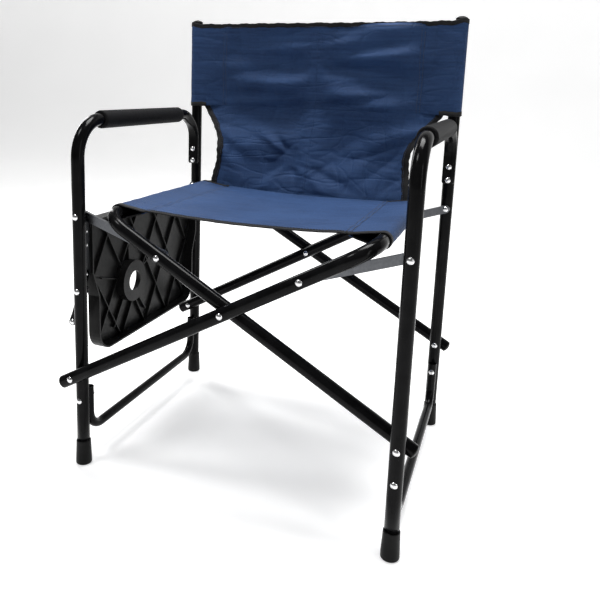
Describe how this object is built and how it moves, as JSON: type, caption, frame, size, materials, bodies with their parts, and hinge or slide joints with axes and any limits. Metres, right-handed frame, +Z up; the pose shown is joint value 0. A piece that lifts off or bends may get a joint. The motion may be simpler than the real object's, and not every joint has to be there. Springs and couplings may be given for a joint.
{
  "type": "folding camp chair",
  "caption": "Folding director's chair on crossed steel tubes, with foam arm grips, a navy cloth seat and back, and a plastic side table with a cup recess that folds down beside it.",
  "frame": {"origin": "on the ground, at the middle of the chair's overall box", "axes": "+Z up, -Y the front of the seat, +X the side without the table"},
  "size_m": [0.6069, 0.4844, 0.8],
  "materials": {
    "black_tube": "gloss black powder coat",
    "zinc": "bright zinc plate",
    "bracket_steel": "dull zinc plate",
    "grip_foam": "matte black foam",
    "black_plastic": "matte black moulding",
    "table_plastic": "black moulding, fine satin grain",
    "navy_cloth": "navy woven polyester, coated",
    "black_binding": "black woven tape"
  },
  "bodies": {
    "left_frame": {"left_arm_tube": "black_tube", "left_rear_post": "black_tube", "left_stretcher": "black_tube", "left_arm_grip": "grip_foam", "left_feet": "black_plastic", "left_post_plug": "black_plastic", "left_frame_rivets": "zinc", "left_pivot_rivets": "zinc", "left_washers": "zinc"},
    "right_frame": {"right_arm_tube": "black_tube", "right_rear_post": "black_tube", "right_stretcher": "black_tube", "right_arm_grip": "grip_foam", "right_feet": "black_plastic", "right_post_plug": "black_plastic", "right_frame_rivets": "zinc", "right_pivot_rivets": "zinc", "right_washers": "zinc"},
    "right_seat_frame": {"right_seat_frame": "black_tube", "right_bar_caps": "black_plastic", "crossing_rivets": "zinc", "crossing_washers": "zinc", "right_bar_rivets": "zinc", "right_seat_sleeve": "navy_cloth", "seat_panel_right": "navy_cloth"},
    "left_seat_frame": {"left_seat_frame": "black_tube", "left_bar_caps": "black_plastic", "left_bar_rivets": "zinc", "left_seat_sleeve": "navy_cloth", "seat_panel_left": "navy_cloth"},
    "left_links": {"left_seat_links": "bracket_steel", "left_link_buttons": "zinc"},
    "right_links": {"right_seat_links": "bracket_steel", "right_link_buttons": "zinc"},
    "table": {"table_top": "table_plastic", "table_brackets": "bracket_steel", "table_rivets": "zinc"},
    "lower_stays": {"lower_stays": "black_tube", "lower_stay_rivets": "zinc"},
    "upper_stays": {"upper_stays": "black_tube", "upper_stay_rivets": "zinc"},
    "back_right": {"right_back_sleeve": "navy_cloth", "back_panel_right": "navy_cloth", "lumbar_right": "navy_cloth"},
    "back_left": {"left_back_sleeve": "navy_cloth", "back_panel_left": "navy_cloth", "lumbar_left": "navy_cloth"}
  },
  "joints": [
    {"name": "fold", "type": "hinge", "parent": "left_frame", "child": "right_seat_frame", "pos_m": [-0.2735, 0, 0.17], "axis": [0, -1, 0], "range_deg": [0, 38.46]},
    {"name": "cross", "type": "hinge", "parent": "right_seat_frame", "child": "left_seat_frame", "pos_m": [0, 0, 0.325], "axis": [0, -1, 0], "range_deg": [-76.93, 0], "deforming": ["seat_panel_left", "seat_panel_right"]},
    {"name": "right_foot_pivot", "type": "hinge", "parent": "left_seat_frame", "child": "right_frame", "pos_m": [0.2735, 0, 0.17], "axis": [0, -1, 0], "range_deg": [0, 38.47]},
    {"name": "left_link_pivot", "type": "hinge", "parent": "left_frame", "child": "left_links", "pos_m": [-0.2735, 0, 0.44514], "axis": [0, -1, 0], "range_deg": [0, 84.55]},
    {"name": "right_link_pivot", "type": "hinge", "parent": "right_frame", "child": "right_links", "pos_m": [0.2735, 0, 0.44514], "axis": [0, -1, 0], "range_deg": [-84.55, 0]},
    {"name": "back_right_turn", "type": "hinge", "parent": "right_frame", "child": "back_right", "pos_m": [0.2735, 0.20375, 0.706], "axis": [0, 0, 1], "range_deg": [-67.39, 0], "deforming": ["lumbar_right", "back_panel_right"]},
    {"name": "back_left_turn", "type": "hinge", "parent": "left_frame", "child": "back_left", "pos_m": [-0.2735, 0.22825, 0.706], "axis": [0, 0, 1], "range_deg": [0, 60.64], "deforming": ["lumbar_left", "back_panel_left"]},
    {"name": "table_hinge", "type": "hinge", "parent": "left_frame", "child": "table", "pos_m": [-0.2735, 0.01225, 0.44514], "axis": [0, 1, 0], "range_deg": [0, 90]},
    {"name": "lower_stay_pivot", "type": "hinge", "parent": "left_frame", "child": "lower_stays", "pos_m": [-0.2735, 0.01225, 0.31714], "axis": [0, 1, 0], "range_deg": [0, 115.17]},
    {"name": "upper_stay_pivot", "type": "hinge", "parent": "table", "child": "upper_stays", "pos_m": [-0.2735, 0.01225, 0.34294], "axis": [0, 1, 0], "range_deg": [-143.02, 0]}
  ],
  "couplings": [
    {"joint": "cross", "follows": "fold", "ratio": -2},
    {"joint": "right_foot_pivot", "follows": "fold", "ratio": 1},
    {"joint": "left_link_pivot", "follows": "fold", "ratio": 2.1981},
    {"joint": "right_link_pivot", "follows": "fold", "ratio": -2.1981},
    {"joint": "back_right_turn", "follows": "fold", "ratio": -1.7518},
    {"joint": "back_left_turn", "follows": "fold", "ratio": 1.5764},
    {"joint": "lower_stay_pivot", "follows": "table_hinge", "ratio": 1.2794},
    {"joint": "upper_stay_pivot", "follows": "table_hinge", "ratio": -1.5888}
  ]
}
